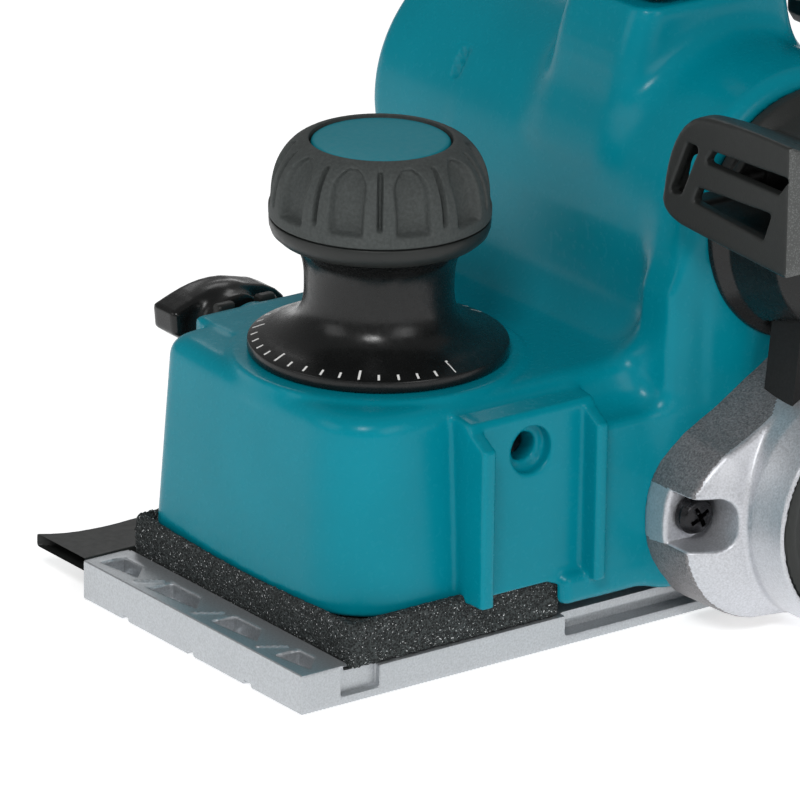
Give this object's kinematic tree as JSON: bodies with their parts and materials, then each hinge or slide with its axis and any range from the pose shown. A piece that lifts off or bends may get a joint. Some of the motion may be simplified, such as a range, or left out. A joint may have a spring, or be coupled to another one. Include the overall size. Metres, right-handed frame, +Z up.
{
  "type": "electric hand planer",
  "caption": "Hand-held electric power planer with a cast two-part sole, belt-driven cutter drum, transverse motor, closed D handle and a depth-setting front knob.",
  "frame": {"origin": "middle of the rear sole's flat underside, on the tool's centre line", "axes": "+X forward, towards the depth knob; +Y to the planer's left, the belt side; +Z up, away from the work"},
  "size_m": [0.288, 0.173, 0.1611],
  "materials": {
    "teal_housing": "semi-gloss moulded plastic, fine grain",
    "black_plastic": "satin moulded plastic",
    "soft_grip": "matte ribbed soft grip",
    "cast_aluminium": "machined and as-cast faces",
    "silver_cover": "sand-textured silver paint on a casting",
    "steel": "turned steel",
    "black_steel": "black oxide",
    "blade_steel": "ground carbide edge",
    "foam": "open-cell black foam with pale specks",
    "rubber": "moulded rubber",
    "copper": "lacquered windings and commutator bars",
    "iron": "stacked laminations",
    "carbon": "pressed carbon"
  },
  "bodies": {
    "planer_body": {"main_housing": "teal_housing", "handle_left": "teal_housing", "handle_right": "teal_housing", "brush_cap_1": "black_plastic", "brush_cap_2": "black_plastic", "motor_end_cap": "black_plastic", "cover_inset": "black_plastic", "vent_hood": "black_plastic", "switch_body": "black_plastic", "chip_outlet": "black_plastic", "grip_cover": "soft_grip", "rear_base": "cast_aluminium", "bearing_bracket": "cast_aluminium", "bearing_plate": "cast_aluminium", "belt_cover": "silver_cover", "base_spring": "steel", "base_screw_1": "steel", "base_screw_2": "steel", "base_screw_3": "steel", "base_screw_4": "steel", "drum_bearing_left": "steel", "drum_bearing_right": "steel", "motor_bearing_right": "steel", "motor_bearing_left": "steel", "handle_screw_1": "steel", "handle_screw_2": "steel", "handle_screw_3": "steel", "foot_pin": "steel", "cover_screw_1": "black_steel", "cover_screw_2": "black_steel", "cover_screw_3": "black_steel", "foam_seal": "foam", "drive_belt": "rubber", "cord_inlet": "rubber", "stator": "iron", "brush_1": "carbon", "brush_2": "carbon"},
    "shoe": {"front_base": "cast_aluminium"},
    "knob": {"knob_dial": "black_plastic", "knob_grip": "soft_grip", "knob_cap": "teal_housing", "depth_screw": "steel"},
    "cutter": {"cutter_drum": "cast_aluminium", "blade_1": "blade_steel", "blade_2": "blade_steel", "blade_clamp_1": "steel", "blade_clamp_2": "steel", "drum_pulley": "steel"},
    "armature": {"armature_shaft": "steel", "armature_core": "copper", "commutator": "copper", "cooling_fan": "black_plastic", "motor_pulley": "steel"},
    "trigger": {"trigger": "black_plastic"},
    "lock": {"lock_button": "black_plastic"},
    "guide": {"depth_guide": "black_plastic"},
    "wing": {"wing_knob": "black_plastic"},
    "foot": {"rear_foot": "black_plastic"}
  },
  "joints": [
    {"name": "knob_turn", "type": "hinge", "parent": "planer_body", "child": "knob", "pos_m": [0.1607, 0, 0.08], "axis": [0, 0, -1], "range_deg": [0, 360]},
    {"name": "shoe_lift", "type": "slide", "parent": "planer_body", "child": "shoe", "axis": [0, 0, 1], "range_m": [0, 0.004], "deforming": ["foam_seal", "base_spring"]},
    {"name": "drum_spin", "type": "hinge", "parent": "planer_body", "child": "cutter", "pos_m": [0.08, 0, 0.0282], "axis": [0, 1, 0], "continuous": true},
    {"name": "motor_spin", "type": "hinge", "parent": "planer_body", "child": "armature", "pos_m": [0.078, 0, 0.089], "axis": [0, 1, 0], "continuous": true},
    {"name": "trigger_pull", "type": "slide", "parent": "planer_body", "child": "trigger", "axis": [0, 0, 1], "range_m": [0, 0.006], "stiffness_N_per_m": 300, "springref_m": -0.002},
    {"name": "lock_press", "type": "slide", "parent": "planer_body", "child": "lock", "axis": [0, -1, 0], "range_m": [0, 0.003], "stiffness_N_per_m": 400, "springref_m": -0.001},
    {"name": "guide_slide", "type": "slide", "parent": "planer_body", "child": "guide", "axis": [0, 0, 1], "range_m": [-0.006, 0.003]},
    {"name": "wing_turn", "type": "hinge", "parent": "planer_body", "child": "wing", "pos_m": [0.164, -0.055, 0.052], "axis": [0, 1, 0], "range_deg": [0, 360]},
    {"name": "foot_swing", "type": "hinge", "parent": "planer_body", "child": "foot", "pos_m": [-0.06, 0, 0.0047], "axis": [0, -1, 0], "range_deg": [0, 35]}
  ],
  "couplings": [
    {"joint": "shoe_lift", "follows": "knob_turn", "m_per_rad": 0.0006366},
    {"joint": "motor_spin", "follows": "drum_spin", "ratio": 1.4737}
  ]
}
